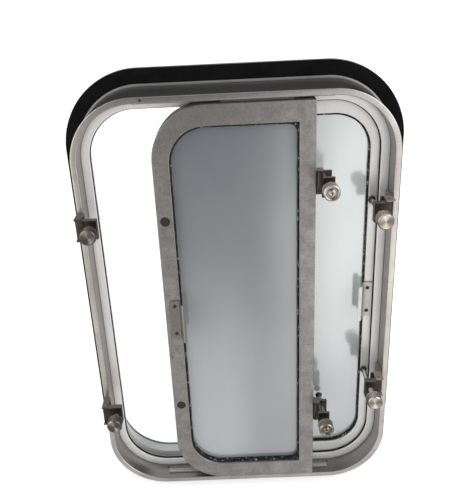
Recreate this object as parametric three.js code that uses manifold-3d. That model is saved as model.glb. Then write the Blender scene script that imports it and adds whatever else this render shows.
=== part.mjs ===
// Opening ship's window ("opening porthole"): a rounded-rectangle frame with a
// mounting flange, two sliding glazed sashes and six swing clamps.
// Units are millimetres, +Z is up, the room side is -Y and the hull side is +Y.
// X runs along the sash travel. The origin is the centre of the whole window.
import * as THREE from 'three';
import { mergeVertices } from 'three/addons/utils/BufferGeometryUtils.js';
import Module from 'manifold-3d';

const wasm = await Module();
wasm.setup();

// ---------------------------------------------------------------- dimensions
const GAP = 0.3;                 // clearance between neighbouring pieces
const SEG = 9;                   // facets in a quarter turn of a big corner

// welded frame
const FRAME_HX = 250;            // half width of the sleeve
const FRAME_HZ = 361;            // half height of the sleeve
const FRAME_R = 100;             // outer corner radius of the sleeve
const WALL = 9.5;                // sleeve wall
const SLEEVE_END = 94;           // sleeve runs from the rim (y = 0) to here
const FLANGE_HX = 276;           // mounting flange, half width
const FLANGE_HZ = 390;           // mounting flange, half height
const FLANGE_R = 127;
const FLANGE_Y0 = 94.3, FLANGE_Y1 = 100;
const GASKET_T = 4;              // rubber ring on the flange

// dividing ledge between the two sash tracks
const LEDGE_Y0 = 36, LEDGE_Y1 = 40, LEDGE_W = 13.3;
const REAR_RING_Y0 = 62.3, REAR_RING_Y1 = 66.3, REAR_RING_W = 11;

// sashes
const SASH_W = 247;              // width of each sash
const SASH_HZ = 347.5;           // half height of each sash
const SASH_R = 84;               // radius of the corners next to the jamb
const SASH_X0 = -126.5;          // left edge of the front sash as drawn (part open)
const RAIL = 31.5;               // top and bottom rail
const STILE_JAMB = 26;           // stile beside the jamb
const STILE_FRONT = 25;          // front sash, meeting side
const STILE_REAR = 44;           // rear sash, meeting side
const SKIRT = 6;                 // rim wall behind the sash face
const PANE_R = 57;               // corner radius of the glass opening
const GRIP = 8;                  // how far the pane reaches behind the face
const REAR_X1 = 238;             // right edge of the rear sash, closed

// front sash depth stations
const FS = { face: -5.5, lip: 4, skirt: 29.5, sealF: -2, sealB: 6.3, g0: 6.6, g1: 14.6, r0: 14.9, r1: 18.9 };
// rear sash depth stations
const RS = { face: 43.3, lip: 49.3, skirt: 61.5, sealF: 45.8, sealB: 51.1, g0: 51.4, g1: 57.4, r0: 57.7, r1: 61.2 };

// tracks
const TRACK_X = 150, TRACK_Y0 = 14.2, TRACK_Y1 = 21.8, TRACK_H = 3.2;
const SHOE_X0 = -20, SHOE_X1 = 90, SHOE_Y0 = 9, SHOE_Y1 = 27;

// clamps: screw axis x, height z, hinge pin x and y, side of the pin (+1: arm points to +X)
const KNOB_R = 12.6, KNOB_L = 20.5, KNOB_Y = -59;
const ARM_HZ = 15.5, EAR_T = 2.8; // half height of the swing arms, thickness of the bracket ears
const PLATE_HZ = 19;              // half height of the bracket plates
const SCREW_R = 3.9;
const CLAMPS = {
  left_upper:  { sx: -225.0, z: 169,  px: -243.5, py: -22.5, dir: 1,  tip: -6.3, b0: -27.0, b1: -16.8, type: 'rim' },
  left_lower:  { sx: -225.0, z: -180, px: -243.5, py: -22.5, dir: 1,  tip: -6.3, b0: -27.0, b1: -16.8, type: 'rim' },
  mid_upper:   { sx: 136.8,  z: 222,  px: 128.0,  py: -3.0,  dir: 1,  tip: 42.6, b0: -31.0, b1: 9.0,  type: 'stile' },
  mid_lower:   { sx: 136.8,  z: -205, px: 128.0,  py: -3.0,  dir: 1,  tip: 42.6, b0: -31.0, b1: 9.0,  type: 'stile' },
  right_upper: { sx: 217.0,  z: 174,  px: 231.5,  py: -10.0, dir: -1, tip: 42.6, b0: -20.0, b1: -8.0, type: 'wall' },
  right_lower: { sx: 217.0,  z: -152, px: 231.5,  py: -10.0, dir: -1, tip: 42.6, b0: -20.0, b1: -8.0, type: 'wall' },
};

// handles
const HANDLE_T = 2;

// ------------------------------------------------------------------- helpers
const toSolid = (geometry) => {
  const g = geometry.clone();
  g.deleteAttribute('normal');
  g.deleteAttribute('uv');
  const m = mergeVertices(g, 1e-4);
  return new wasm.Manifold(new wasm.Mesh({
    numProp: 3,
    vertProperties: new Float32Array(m.attributes.position.array),
    triVerts: new Uint32Array(m.index.array),
  }));
};
const toGeometry = (solid) => {
  const mesh = solid.getMesh();
  const g = new THREE.BufferGeometry();
  g.setAttribute('position', new THREE.BufferAttribute(new Float32Array(mesh.vertProperties), 3));
  g.setIndex(new THREE.BufferAttribute(new Uint32Array(mesh.triVerts), 1));
  g.computeVertexNormals();
  return g;
};
// closed outline of a rectangle with its own radius at each corner [TL, TR, BR, BL]
const outline = (x0, x1, z0, z1, radii, seg = SEG) => {
  const [tl, tr, br, bl] = radii;
  const pts = [];
  const arc = (cx, cz, r, a0) => {
    if (r <= 0) { pts.push(new THREE.Vector2(cx, cz)); return; }
    const n = r > 20 ? seg : 3;
    for (let i = 0; i <= n; i++) {
      const a = a0 + (Math.PI / 2) * (i / n);
      pts.push(new THREE.Vector2(cx + r * Math.cos(a), cz + r * Math.sin(a)));
    }
  };
  arc(x1 - tr, z1 - tr, tr, 0);
  arc(x0 + tl, z1 - tl, tl, Math.PI / 2);
  arc(x0 + bl, z0 + bl, bl, Math.PI);
  arc(x1 - br, z0 + br, br, 1.5 * Math.PI);
  return pts;
};
// plate or ring in the window plane between two depths
const plate = (outer, inner, y0, y1) => {
  const s = new THREE.Shape(outer);
  if (inner) s.holes.push(new THREE.Path(inner));
  const g = new THREE.ExtrudeGeometry(s, { depth: y1 - y0, bevelEnabled: false, steps: 1 });
  g.rotateX(Math.PI / 2);
  g.translate(0, y1, 0);
  return g;
};
const centred = (hx, hz, r, seg) => outline(-hx, hx, -hz, hz, [r, r, r, r], seg);
const box = (x0, x1, y0, y1, z0, z1) => {
  const g = new THREE.BoxGeometry(x1 - x0, y1 - y0, z1 - z0);
  g.translate((x0 + x1) / 2, (y0 + y1) / 2, (z0 + z1) / 2);
  return g;
};
// solid of revolution about a line along Y through (x, z); profile is [radius, y]
const turned = (profile, x, z, n = 28) => {
  const pts = profile.map(([r, y]) => new THREE.Vector2(r, y));
  const g = new THREE.LatheGeometry(pts, n);
  g.translate(x, 0, z);
  return g;
};
const rodY = (r, y0, y1, x, z, n = 20) => {
  const g = new THREE.CylinderGeometry(r, r, y1 - y0, n);
  g.translate(x, (y0 + y1) / 2, z);
  return g;
};
const rodZ = (r, z0, z1, x, y, n = 20) => {
  const g = new THREE.CylinderGeometry(r, r, z1 - z0, n);
  g.rotateX(Math.PI / 2);
  g.translate(x, y, (z0 + z1) / 2);
  return g;
};
// prism with a section drawn in the X-Y plane, running along Z
const prismZ = (pts, z0, z1) => {
  const s = new THREE.Shape(pts.map(([x, y]) => new THREE.Vector2(x, y)));
  const g = new THREE.ExtrudeGeometry(s, { depth: z1 - z0, bevelEnabled: false, steps: 1 });
  g.translate(0, 0, z0);
  return g;
};

const mats = {
  frame:   { color: 0xa9a49d, roughness: 0.42, metalness: 0.9 },
  sash:    { color: 0x8c8a87, roughness: 0.5, metalness: 0.85 },
  ledge:   { color: 0xc4beb6, roughness: 0.35, metalness: 0.9 },
  flange:  { color: 0x6f6d6b, roughness: 0.5, metalness: 0.8 },
  rubber:  { color: 0x0e0e0e, roughness: 0.8, metalness: 0.0 },
  glass:   { color: 0xaab4b8, roughness: 0.25, metalness: 0.0 },
  steel:   { color: 0x9a8f84, roughness: 0.3, metalness: 1.0 },
  bracket: { color: 0x5a5048, roughness: 0.45, metalness: 0.9 },
  plug:    { color: 0x5c4c42, roughness: 0.7, metalness: 0.4 },
  nylon:   { color: 0xd8d6d0, roughness: 0.6, metalness: 0.0 },
};
const model = new THREE.Group();
const put = (parent, name, geometry, mat) => {
  const mesh = new THREE.Mesh(geometry, new THREE.MeshStandardMaterial(mats[mat]));
  mesh.name = name;
  parent.add(mesh);
  return mesh;
};

// --------------------------------------------------------------------- frame
const inHX = FRAME_HX - WALL, inHZ = FRAME_HZ - WALL, inR = FRAME_R - WALL;
{
  const sleeve = toSolid(plate(centred(FRAME_HX, FRAME_HZ, FRAME_R), centred(inHX, inHZ, inR), 0, SLEEVE_END))
    // drain holes through the sill of the front track, and a blind hole in the rim
    .subtract(toSolid(rodZ(2.6, -FRAME_HZ - 2, -inHZ + 2, -152, 30, 12)))
    .subtract(toSolid(rodZ(2.6, -FRAME_HZ - 2, -inHZ + 2, 152, 30, 12)))
    .subtract(toSolid(rodY(2.0, -1, 5, -135.4, 356.6, 12)));
  put(model, 'frame_sleeve', toGeometry(sleeve), 'frame');

  // flange with a small weld fillet standing against the sleeve
  const fl = toSolid(plate(centred(FLANGE_HX, FLANGE_HZ, FLANGE_R), centred(inHX, inHZ, inR), FLANGE_Y0, FLANGE_Y1));
  const bead = toSolid(plate(centred(FRAME_HX + 5, FRAME_HZ + 5, FRAME_R + 5), centred(FRAME_HX + GAP, FRAME_HZ + GAP, FRAME_R + GAP), FLANGE_Y0 - 5, FLANGE_Y0 + 1));
  put(model, 'mounting_flange', toGeometry(fl.add(bead)), 'flange');

  put(model, 'flange_gasket', plate(
    centred(FLANGE_HX - 0.5, FLANGE_HZ - 0.5, FLANGE_R - 0.5),
    centred(FRAME_HX + 5 + GAP, FRAME_HZ + 5 + GAP, FRAME_R + 5 + GAP),
    FLANGE_Y0 - GAP - GASKET_T, FLANGE_Y0 - GAP), 'rubber');

  put(model, 'track_ledge', plate(
    centred(inHX - GAP, inHZ - GAP, inR - GAP),
    centred(inHX - LEDGE_W, inHZ - LEDGE_W, inR - LEDGE_W), LEDGE_Y0, LEDGE_Y1), 'ledge');

  put(model, 'ledge_gasket', plate(
    centred(inHX - 1, inHZ - 1, inR - 1),
    centred(inHX - LEDGE_W - 1.5, inHZ - LEDGE_W - 1.5, inR - LEDGE_W - 1.5),
    LEDGE_Y1 + GAP, RS.face - GAP), 'rubber');

  put(model, 'rear_retaining_ring', plate(
    centred(inHX - GAP, inHZ - GAP, inR - GAP),
    centred(inHX - REAR_RING_W, inHZ - REAR_RING_W, inR - REAR_RING_W), REAR_RING_Y0, REAR_RING_Y1), 'frame');

  put(model, 'front_track_bottom', box(-TRACK_X, TRACK_X, TRACK_Y0, TRACK_Y1, -inHZ + GAP, -inHZ + GAP + TRACK_H), 'nylon');
  put(model, 'front_track_top', box(-TRACK_X, TRACK_X, TRACK_Y0, TRACK_Y1, inHZ - GAP - TRACK_H, inHZ - GAP), 'nylon');
}

// -------------------------------------------------------------------- sashes
// side = -1: round corners on the left (front sash); +1: round corners on the right (rear sash)
const radii = (side, big, small) => (side < 0 ? [big, small, small, big] : [small, big, big, small]);

const makeSash = (parent, prefix, side, xa, xb, oa, ob, D, shoes, pins, topShoe) => {
  const oz = SASH_HZ - RAIL;
  const o = (g) => outline(xa - g, xb + g, -SASH_HZ - g, SASH_HZ + g, radii(side, SASH_R + g, Math.max(1.5 + g, 0.8)));
  const w = (g, small = 1.5) => outline(oa - g, ob + g, -oz - g, oz + g, radii(side, PANE_R + g, Math.max(small + g, 0.8)));
  let frame = toSolid(plate(o(0), w(0), D.face, D.lip + 0.01))
    .add(toSolid(plate(o(0), outline(xa + SKIRT, xb - SKIRT, -SASH_HZ + SKIRT, SASH_HZ - SKIRT, radii(side, SASH_R - SKIRT, 1.5)), D.lip, D.skirt)));
  for (const cut of shoes) frame = frame.subtract(toSolid(box(cut[0] - GAP, cut[1] + GAP, cut[2] - GAP, cut[3] + GAP, -SASH_HZ - 2, -SASH_HZ + SKIRT + 1)));
  if (topShoe) frame = frame.subtract(toSolid(box(topShoe[0] - GAP, topShoe[1] + GAP, topShoe[2] - GAP, topShoe[3] + GAP, SASH_HZ - SKIRT - 1, SASH_HZ + 2)));
  for (const p of pins) frame = frame.subtract(toSolid(rodY(p[2], D.face - 1, D.face + p[3], p[0], p[1], 20)));
  put(parent, `${prefix}_sash_frame`, toGeometry(frame), 'sash');

  // glazing seal: visible lip inside the opening and a flange behind the face
  const seal = toSolid(plate(w(-GAP, 1.5), w(-3, side < 0 ? 14 : 6), D.sealF, D.sealB))
    .add(toSolid(plate(w(GRIP), w(-3, side < 0 ? 14 : 6), D.lip + GAP, D.sealB)));
  put(parent, `${prefix}_glazing_seal`, toGeometry(seal), 'rubber');
  put(parent, `${prefix}_glass`, plate(w(GRIP), null, D.g0, D.g1), 'glass');
  const inner = (g) => outline(xa + SKIRT + g, xb - SKIRT - g, -SASH_HZ + SKIRT + g, SASH_HZ - SKIRT - g, radii(side, SASH_R - SKIRT - g, 1.2));
  put(parent, `${prefix}_glass_retainer`, plate(inner(GAP), w(0), D.r0, D.r1), 'sash');
};

// the pull handle is a bent strip: plate, slanting web and finger lip
const makeHandle = (parent, prefix, side, xEdge, yFace, z0, z1, screws) => {
  // side -1: plate to the left of xEdge, lip to its right; +1 is the mirror image
  const s = -side;
  const X = (d) => xEdge + s * d;
  const y = yFace - GAP;
  const pts = [
    [X(-17), y], [X(-17), y - HANDLE_T], [X(-2.2), y - HANDLE_T], [X(2.6), y - 19.5],
    [X(9), y - 19.5], [X(9), y - 17.3], [X(4.7), y - 17.3], [X(0.2), y],
  ];
  if (s > 0) pts.reverse();
  let h = toSolid(prismZ(pts, z0, z1));
  for (const [sx, sz] of screws) h = h.subtract(toSolid(rodY(2.3, y - 4, y + 1, sx, sz, 16)));
  put(parent, `${prefix}_handle`, toGeometry(h), 'steel');
  screws.forEach(([sx, sz], i) => {
    put(parent, `${prefix}_handle_screw_${i + 1}`,
      turned([[0, y - HANDLE_T - 1.5], [2.0, y - HANDLE_T - 1.3], [3.4, y - HANDLE_T - 0.2], [1.9, y - HANDLE_T - 0.2], [1.9, y + 5], [0, y + 5.6]], sx, sz, 16), 'steel');
  });
};

const frontSash = new THREE.Group();
model.add(frontSash);
const fxa = SASH_X0, fxb = SASH_X0 + SASH_W;
const PLUG_X = fxa + 13;
const fScrews = [[fxa + 16.2, 20.5], [fxa + 16.2, -31]];
makeSash(frontSash, 'front', -1, fxa, fxb, fxa + STILE_JAMB, fxb - STILE_FRONT, FS,
  [[SHOE_X0, SHOE_X1, SHOE_Y0, SHOE_Y1]],
  [[PLUG_X, CLAMPS.left_upper.z, 7.8, 3.2], [PLUG_X, CLAMPS.left_lower.z, 7.8, 3.2], [fScrews[0][0], fScrews[0][1], 2.2, 7], [fScrews[1][0], fScrews[1][1], 2.2, 7]],
  [SHOE_X0, SHOE_X1, SHOE_Y0, SHOE_Y1]);
for (const [n, z] of [['upper', CLAMPS.left_upper.z], ['lower', CLAMPS.left_lower.z]]) {
  put(frontSash, `front_strike_${n}`, turned([[0, FS.face + 0.6], [5.6, FS.face + 0.6], [6.2, FS.face + 0.2], [7.5, FS.face + 0.2], [7.5, FS.face + 2.9], [0, FS.face + 2.9]], PLUG_X, z, 24), 'plug');
}
makeHandle(frontSash, 'front', -1, fxa + STILE_JAMB - 0.5, FS.face, -40, 30, fScrews);
{
  // sealing strip behind the front sash; deeper along the meeting stile
  const g = 1;
  const ring = toSolid(plate(
    outline(fxa + g, fxb - g, -SASH_HZ + g, SASH_HZ - g, [SASH_R - g, 1, 1, SASH_R - g]),
    outline(fxa + 7, fxb - 7, -SASH_HZ + 7, SASH_HZ - 7, [SASH_R - 7, 1, 1, SASH_R - 7]),
    FS.skirt + GAP, LEDGE_Y0 - 0.5));
  const bar = toSolid(box(fxb - 7, fxb - 1, FS.skirt + GAP, RS.face - 0.6, -334, 334));
  put(frontSash, 'front_sash_gasket', toGeometry(ring.add(bar)), 'rubber');

  const shoe = (up) => {
    const zIn = up * (SASH_HZ - SKIRT + 0.3), zOut = up * (inHZ - GAP), zGroove = up * (inHZ - GAP - TRACK_H - 0.4);
    const body = toSolid(box(SHOE_X0, SHOE_X1, SHOE_Y0, SHOE_Y1, Math.min(zIn, zOut), Math.max(zIn, zOut)));
    const groove = toSolid(box(SHOE_X0 - 5, SHOE_X1 + 5, TRACK_Y0 - 0.4, TRACK_Y1 + 0.4, Math.min(zGroove, zOut + up * 2), Math.max(zGroove, zOut + up * 2)));
    return toGeometry(body.subtract(groove));
  };
  put(frontSash, 'front_bottom_glide', shoe(-1), 'nylon');
  put(frontSash, 'front_top_guide', shoe(1), 'nylon');
}

const rearSash = new THREE.Group();
model.add(rearSash);
const rxb = REAR_X1, rxa = REAR_X1 - SASH_W;
const rScrews = [[rxb - 21, 14.5], [rxb - 21, -29.5]];
const rearPads = [[20, 60, 51, 60], [110, 150, 51, 60]];
makeSash(rearSash, 'rear', 1, rxa, rxb, rxa + STILE_REAR, rxb - STILE_JAMB, RS,
  rearPads, [[rScrews[0][0], rScrews[0][1], 2.2, 5.6], [rScrews[1][0], rScrews[1][1], 2.2, 5.6]], null);
rearPads.forEach(([x0, x1, y0, y1], i) => {
  put(rearSash, `rear_bottom_glide_${i + 1}`, box(x0, x1, y0, y1, -inHZ + GAP, -SASH_HZ + SKIRT - GAP), 'nylon');
});
makeHandle(rearSash, 'rear', 1, rxb - STILE_JAMB - 3.9, RS.face, -40, 25, rScrews);

// -------------------------------------------------------------------- clamps
const lugOutline = (c, rl, x1, y0, y1, x2) => {
  // arm outline: round lug about the pin, stepping up to the block that holds the screw
  const d = c.dir, pts = [];
  const n = 8;
  for (let i = 0; i <= n; i++) {
    const a = Math.PI / 2 + Math.PI * (i / n);
    pts.push([c.px + d * rl * Math.cos(a), c.py + rl * Math.sin(a)]);
  }
  pts.push([c.px + d * x1, c.py - rl], [c.px + d * x1, y0], [c.px + d * x2, y0], [c.px + d * x2, y1], [c.px + d * x1, y1], [c.px + d * x1, c.py + rl]);
  if (d < 0) pts.reverse();
  return pts;
};
const channelOutline = (c, rl, x2) => {
  // channel arm: a web beside the screw with a plate in front and a plate behind, lug on the web
  const w0 = 1.2, w1 = 4.4, t = 5, a0 = Math.acos(w0 / rl), n = 10, pts = [];
  for (let i = 0; i <= n; i++) {
    const a = a0 + (2 * Math.PI - 2 * a0) * (i / n);
    pts.push([c.px + rl * Math.cos(a), c.py + rl * Math.sin(a)]);
  }
  pts.push([c.px + w0, c.b0 + t], [c.px - 1.6, c.b0 + t], [c.px - 1.6, c.b0], [c.px + x2 - 0.4, c.b0], [c.px + x2 - 0.4, c.b0 + t]);
  pts.push([c.px + w1, c.b0 + t], [c.px + w1, c.b1 - t], [c.px + x2, c.b1 - t], [c.px + x2, c.b1], [c.px + w0, c.b1]);
  return pts;
};
for (const [name, c] of Object.entries(CLAMPS)) {
  const host = c.type === 'stile' ? frontSash : model;
  const pinR = c.type === 'stile' ? 1.9 : 2.5;
  const z = c.z;
  const hz = ARM_HZ, e0 = hz + GAP, e1 = hz + GAP + EAR_T;
  // bracket: a channel that carries the pin between two ears
  const ears = (x0, x1, y0, y1) => toSolid(box(x0, x1, y0, y1, z - e1, z + e1))
    .subtract(toSolid(box(x0 - 1, x1 + 1, y0 - 1, y1 + 1, z - e0, z + e0)));
  const bore = toSolid(rodZ(pinR + 0.05, z - e1 - 1, z + e1 + 1, c.px, c.py, 20));
  let bracket;
  if (c.type === 'rim') {
    // back plate on the rim's face, ears standing forward
    bracket = ears(-FRAME_HX + 0.4, -238.8, -28.6, -2.5)
      .add(toSolid(box(-FRAME_HX + 0.4, -238.8, -3.3, -GAP, z - PLATE_HZ, z + PLATE_HZ)));
  } else if (c.type === 'wall') {
    // angle: a web on the jamb wall, a plate facing the room, ears standing forward of it
    const x1 = inHX - GAP;
    bracket = ears(226.5, x1, -16, 4)
      .add(toSolid(box(221.5, x1, 3, 6, z - PLATE_HZ, z + PLATE_HZ)))
      .add(toSolid(box(x1 - 3, x1, 5, LEDGE_Y0 - GAP, z - PLATE_HZ, z + PLATE_HZ)));
  } else {
    // web on the edge of the meeting stile, ears standing out from it
    const x0 = fxb + GAP;
    bracket = ears(x0 + 1.6, 132, -6.9, 11)
      .add(toSolid(box(x0, x0 + 3, -4, 11, z - PLATE_HZ, z + PLATE_HZ)));
  }
  bracket = bracket.subtract(bore);
  put(host, `${name}_clamp_bracket`, toGeometry(bracket), 'bracket');

  put(host, `${name}_clamp_pin`, rodZ(pinR, z - e1 - 0.8, z + e1 + 0.8, c.px, c.py, 20), 'steel');

  // swing arm with the screw bore
  const lug = c.type === 'rim' ? 5.8 : c.type === 'wall' ? 5.2 : 3.9;
  const step = c.type === 'rim' ? 7 : c.type === 'wall' ? 6 : 4;
  const reach = Math.abs(c.sx - c.px) + 9;
  const outline = c.type === 'stile' ? channelOutline(c, lug, reach) : lugOutline(c, lug, step, c.b0, c.b1, reach);
  const arm = toSolid(prismZ(outline, z - hz, z + hz))
    .subtract(toSolid(rodZ(pinR + 0.08, z - hz - 1, z + hz + 1, c.px, c.py, 20)))
    .subtract(toSolid(rodY(SCREW_R + 0.08, c.b0 - 2, c.b1 + 2, c.sx, z, 20)));
  put(model, `${name}_clamp_arm`, toGeometry(arm), 'bracket');

  // thumb screw: knurled head, collar and shank in one turned piece
  const y0 = KNOB_Y, y1 = KNOB_Y + KNOB_L;
  const end = c.tip - 2.4;
  const neck = c.type === 'rim' ? 2.4 : 6;
  const prof = [
    [0, y0 + 0.9], [4.2, y0 + 0.9], [9.6, y0], [KNOB_R - 1.4, y0], [KNOB_R, y0 + 1.6], [KNOB_R, y1 - 3], [KNOB_R - 2.4, y1 - 0.8],
    [KNOB_R - 4.2, y1], [SCREW_R, y1], [SCREW_R, end - neck], [2.9, end - neck], [2.9, end], [0, end],
  ];
  put(model, `${name}_thumb_screw`, turned(prof, c.sx, z, 28), 'steel');

  // swivel foot on the end of the screw
  const f = c.tip;
  const foot = [
    [0, f - 2.1], [3.2, f - 2.1], [3.2, f - 4.2], [4.2, f - 4.2], [5.4, f - 3.2], [6.0, f - 2.0], [6.0, f - 0.8], [5.0, f], [0, f],
  ];
  put(model, `${name}_clamp_foot`, turned(foot, c.sx, z, 24), 'bracket');
}

// centre of the overall box: knob faces to the back of the flange
model.position.y = -(KNOB_Y + FLANGE_Y1) / 2;

export default model;
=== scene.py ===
"""Framed window with two obscured-glass sashes, held by six thumb-screw clamps.

The room side faces -Y, x runs to the right seen from the room and z runs up. Pieces are drawn in
millimetres; depths (y) are counted from the front rim of the sleeve (0) to the back of the flange.
The front sash fills the left half of the opening and the rear sash the right half.
"""
import math
from collections import namedtuple

import bmesh
import bpy
from mathutils import Matrix, Vector, noise


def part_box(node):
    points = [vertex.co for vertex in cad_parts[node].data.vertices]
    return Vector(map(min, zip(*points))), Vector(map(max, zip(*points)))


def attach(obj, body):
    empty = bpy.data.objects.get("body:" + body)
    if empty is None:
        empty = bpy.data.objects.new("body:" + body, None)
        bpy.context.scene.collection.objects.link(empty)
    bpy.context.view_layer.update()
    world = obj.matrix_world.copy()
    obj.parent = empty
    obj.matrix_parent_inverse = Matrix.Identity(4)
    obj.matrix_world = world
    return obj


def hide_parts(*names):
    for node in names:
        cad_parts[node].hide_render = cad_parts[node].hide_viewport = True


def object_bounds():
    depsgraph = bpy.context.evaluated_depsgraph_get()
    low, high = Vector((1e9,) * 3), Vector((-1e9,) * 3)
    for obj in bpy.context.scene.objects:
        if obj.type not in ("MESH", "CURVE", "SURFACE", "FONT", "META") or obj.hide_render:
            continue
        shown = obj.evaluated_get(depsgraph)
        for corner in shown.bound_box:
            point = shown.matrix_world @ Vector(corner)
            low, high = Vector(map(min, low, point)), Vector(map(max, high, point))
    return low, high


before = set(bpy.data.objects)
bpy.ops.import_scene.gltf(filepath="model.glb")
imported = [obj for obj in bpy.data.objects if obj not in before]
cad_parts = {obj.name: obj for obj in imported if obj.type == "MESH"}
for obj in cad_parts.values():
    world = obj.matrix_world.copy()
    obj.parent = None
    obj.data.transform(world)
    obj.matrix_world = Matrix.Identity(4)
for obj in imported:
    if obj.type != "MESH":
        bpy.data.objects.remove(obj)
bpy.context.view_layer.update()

scene = bpy.context.scene

# =====================================================================================
# driving dimensions, mm
# =====================================================================================
MM = 0.001
FRAME_DEPTH = 100.0
RIM_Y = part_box("mounting_flange")[1].y / MM - FRAME_DEPTH    # the rim plane in the CAD frame
GAP = 0.3                          # play between neighbouring pieces

SLEEVE_HALF_WIDTH, SLEEVE_HALF_HEIGHT, SLEEVE_RADIUS = 250.0, 361.0, 100.0
SLEEVE_WALL = 9.5
COLLAR_WALL = 5                    # collar on the flange that hugs the sleeve

SASH_HALF_HEIGHT = 347.5
WINDOW_HALF_HEIGHT = SASH_HALF_HEIGHT - 31.5
SASH_RADIUS, WINDOW_RADIUS, SQUARE_RADIUS = 84, 57, 1.5
FRONT_LEFT, FRONT_RIGHT = -126.5, 120.5
REAR_LEFT, REAR_RIGHT = -9.0, 238.0
STRIKE_X = FRONT_LEFT + 13
LEFT_CLAMP_Z = {"upper": 169.0, "lower": -180.0}    # the strikes sit level with these clamps

KNOB_RADIUS, KNOB_LENGTH, KNOB_FRONT = 12.6, 20.5, -59.0
KNURL_RADIUS = KNOB_RADIUS - 0.35
THREAD_RADIUS, THREAD_PITCH = 3.9, 1.25


# =====================================================================================
# node trees
# =====================================================================================
def shade(color, factor, lift=0.0):
    """A colour scaled and lifted, kept below white."""
    return tuple(min(1.0, v * factor + lift) for v in color)


class Nodes:
    """Lays out the node tree of a material or of the world."""

    def __init__(self, owner, output="ShaderNodeOutputMaterial"):
        owner.use_nodes = True
        self.owner = owner
        self.tree = owner.node_tree
        self.tree.nodes.clear()
        self.output = self.add(output)

    def add(self, kind, inputs=None, **props):
        """A node whose inputs are either linked to a socket or set to a value."""
        node = self.tree.nodes.new(kind)
        for key, value in props.items():
            setattr(node, key, value)
        for key, value in (inputs or {}).items():
            if isinstance(value, bpy.types.NodeSocket):
                self.tree.links.new(value, node.inputs[key])
            else:
                node.inputs[key].default_value = value
        return node

    def finish(self, shader):
        self.tree.links.new(shader.outputs[0], self.output.inputs["Surface"])
        return self.owner

    def position(self):
        return self.add("ShaderNodeTexCoord").outputs["Object"]

    def coords(self, stretch=(1, 1, 1)):
        mapping = self.add("ShaderNodeMapping", {"Vector": self.position(), "Scale": stretch})
        return mapping.outputs["Vector"]

    def normal(self):
        return self.add("ShaderNodeNewGeometry").outputs["Normal"]

    def split(self, vector):
        return self.add("ShaderNodeSeparateXYZ", {0: vector}).outputs

    def noise(self, scale, detail=4.0, rough=0.55, distort=0.0, stretch=(1, 1, 1), vector=None):
        inputs = {"Scale": scale, "Detail": detail, "Roughness": rough, "Distortion": distort,
                  "Vector": vector or self.coords(stretch)}
        return self.add("ShaderNodeTexNoise", inputs).outputs["Fac"]

    def ramp(self, factor, stops):
        node = self.add("ShaderNodeValToRGB", {"Fac": factor})
        elements = node.color_ramp.elements
        while len(elements) < len(stops):
            elements.new(0.5)
        for element, (place, color) in zip(elements, stops):
            element.position = place
            element.color = (*color, 1)
        return node.outputs["Color"]

    def remap(self, value, span, to=(0.0, 1.0), smooth=False):
        """Maps span onto to, clamped."""
        inputs = {"From Min": span[0], "From Max": span[1], "To Min": to[0], "To Max": to[1],
                  "Value": value}
        kind = "SMOOTHSTEP" if smooth else "LINEAR"
        return self.add("ShaderNodeMapRange", inputs, interpolation_type=kind).outputs["Result"]

    def math(self, operation, *values):
        return self.add("ShaderNodeMath", dict(enumerate(values)), operation=operation).outputs[0]

    def plus(self, a, b):
        return self.math("ADD", a, b)

    def minus(self, a, b):
        return self.math("SUBTRACT", a, b)

    def times(self, a, b):
        return self.math("MULTIPLY", a, b)

    def mix(self, factor, first, second):
        first, second = [(*v, 1) if isinstance(v, tuple) else v for v in (first, second)]
        inputs = {0: factor, 6: first, 7: second}
        return self.add("ShaderNodeMix", inputs, data_type="RGBA").outputs[2]

    def edge(self, radius=0.0007):
        """1 on convex edges and rounded corners, 0 on flats."""
        bevel = self.add("ShaderNodeBevel", {"Radius": radius}, samples=4)
        dot = self.add("ShaderNodeVectorMath", {0: bevel.outputs["Normal"], 1: self.normal()},
                       operation="DOT_PRODUCT")
        return self.remap(self.minus(1.0, dot.outputs["Value"]), span=(0.02, 0.35))

    def dark_mask(self, distance=0.008):
        """Ambient occlusion mask for painted shade: 1 deep in corners, 0 in the open."""
        occlusion = self.add("ShaderNodeAmbientOcclusion", {"Distance": distance}, samples=6)
        return self.remap(occlusion.outputs["AO"], span=(0.35, 0.95), to=(1.0, 0.0))

    def bump(self, height, strength, distance):
        inputs = {"Strength": strength, "Distance": distance, "Height": height}
        return self.add("ShaderNodeBump", inputs).outputs["Normal"]


def new_material(name):
    return Nodes(bpy.data.materials.new(name))


# =====================================================================================
# kinds of material
# =====================================================================================
GRAIN_STRETCH = {"X": (0.02, 1, 1), "Y": (1, 0.02, 1), "Z": (1, 1, 0.02), None: (1, 1, 1)}


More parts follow.
